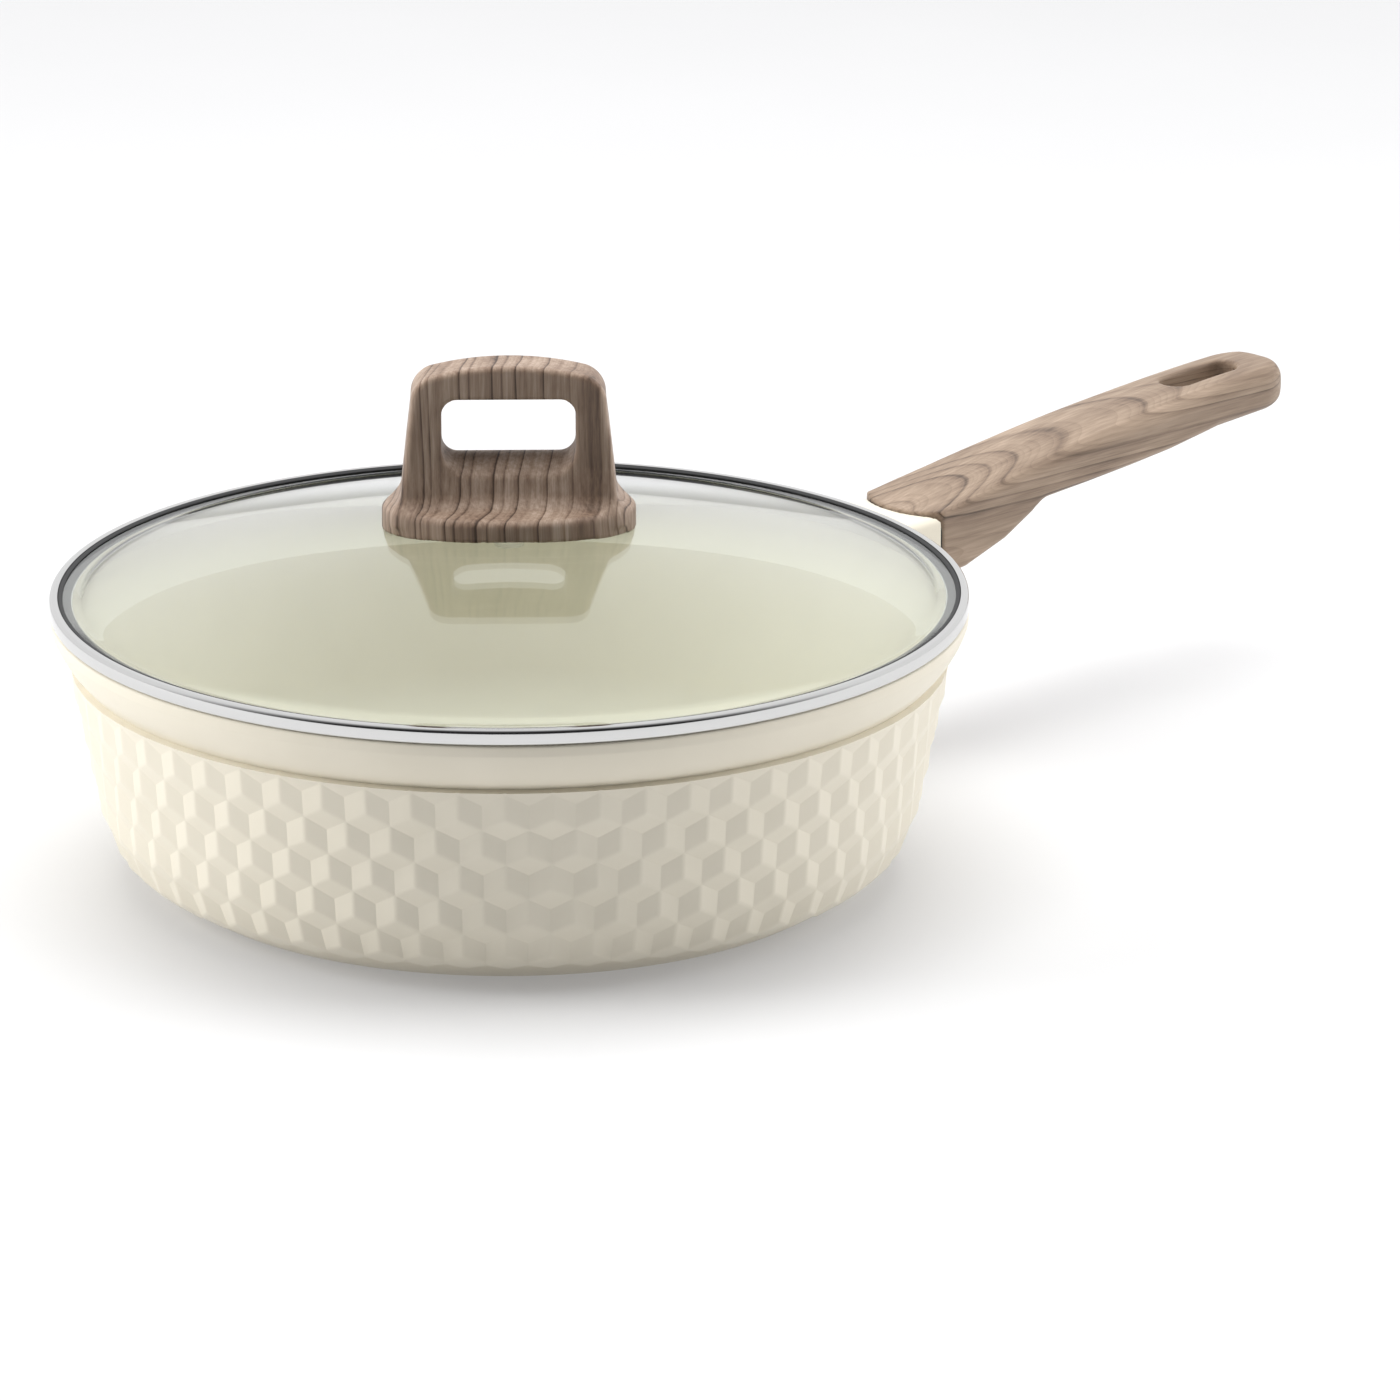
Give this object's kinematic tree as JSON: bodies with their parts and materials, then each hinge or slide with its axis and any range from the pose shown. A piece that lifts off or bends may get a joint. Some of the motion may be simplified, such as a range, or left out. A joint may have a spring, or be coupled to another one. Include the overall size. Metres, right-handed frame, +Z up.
{
  "type": "saucepan with lid",
  "caption": "Deep round cream saucepan with a faceted wall, long wood-grain handle with hanging slot, and domed glass lid in a steel band with an arch handle.",
  "frame": {"origin": "centre of the pan's flat underside, on the surface it stands on", "axes": "+Z up out of the pan; +X from the pan's axis along the long handle; +Y completes a right-handed frame, to the left of the handle seen from above"},
  "size_m": [0.4882, 0.2844, 0.1632],
  "materials": {
    "enamelled_aluminium": "cream satin coating on cast aluminium, faceted outside wall",
    "base_steel": "turned stainless plate pressed into the base",
    "heat_gasket": "matt dark heat-resistant gasket",
    "wood_grain_bakelite": "phenolic moulding with a soft-touch wood-grain transfer, grey-brown with darker grain",
    "zinc_steel": "zinc-plated steel",
    "polished_steel": "polished stainless sheet",
    "dark_silicone": "dark silicone seal",
    "tempered_glass": "clear tempered glass with a slight green tint",
    "insert_brass": "turned brass",
    "grey_silicone": "matt grey silicone"
  },
  "bodies": {
    "pan": {"pan_body": "enamelled_aluminium", "induction_plate": "base_steel", "handle_gasket": "heat_gasket", "long_handle": "wood_grain_bakelite", "lug_thread_insert": "zinc_steel", "handle_washer": "zinc_steel", "handle_spring_washer": "zinc_steel", "handle_screw": "zinc_steel"},
    "lid": {"lid_rim_band": "polished_steel", "lid_rim_seal": "dark_silicone", "lid_glass": "tempered_glass", "lid_handle": "wood_grain_bakelite", "lid_handle_insert": "insert_brass", "lid_handle_pad": "grey_silicone", "lid_grommet": "grey_silicone", "lid_washer": "polished_steel", "lid_spring_washer": "zinc_steel", "lid_screw": "polished_steel"}
  },
  "joints": [
    {"name": "lid_lift", "type": "slide", "parent": "pan", "child": "lid", "axis": [0, 0, 1], "range_m": [0, 0.12]}
  ]
}
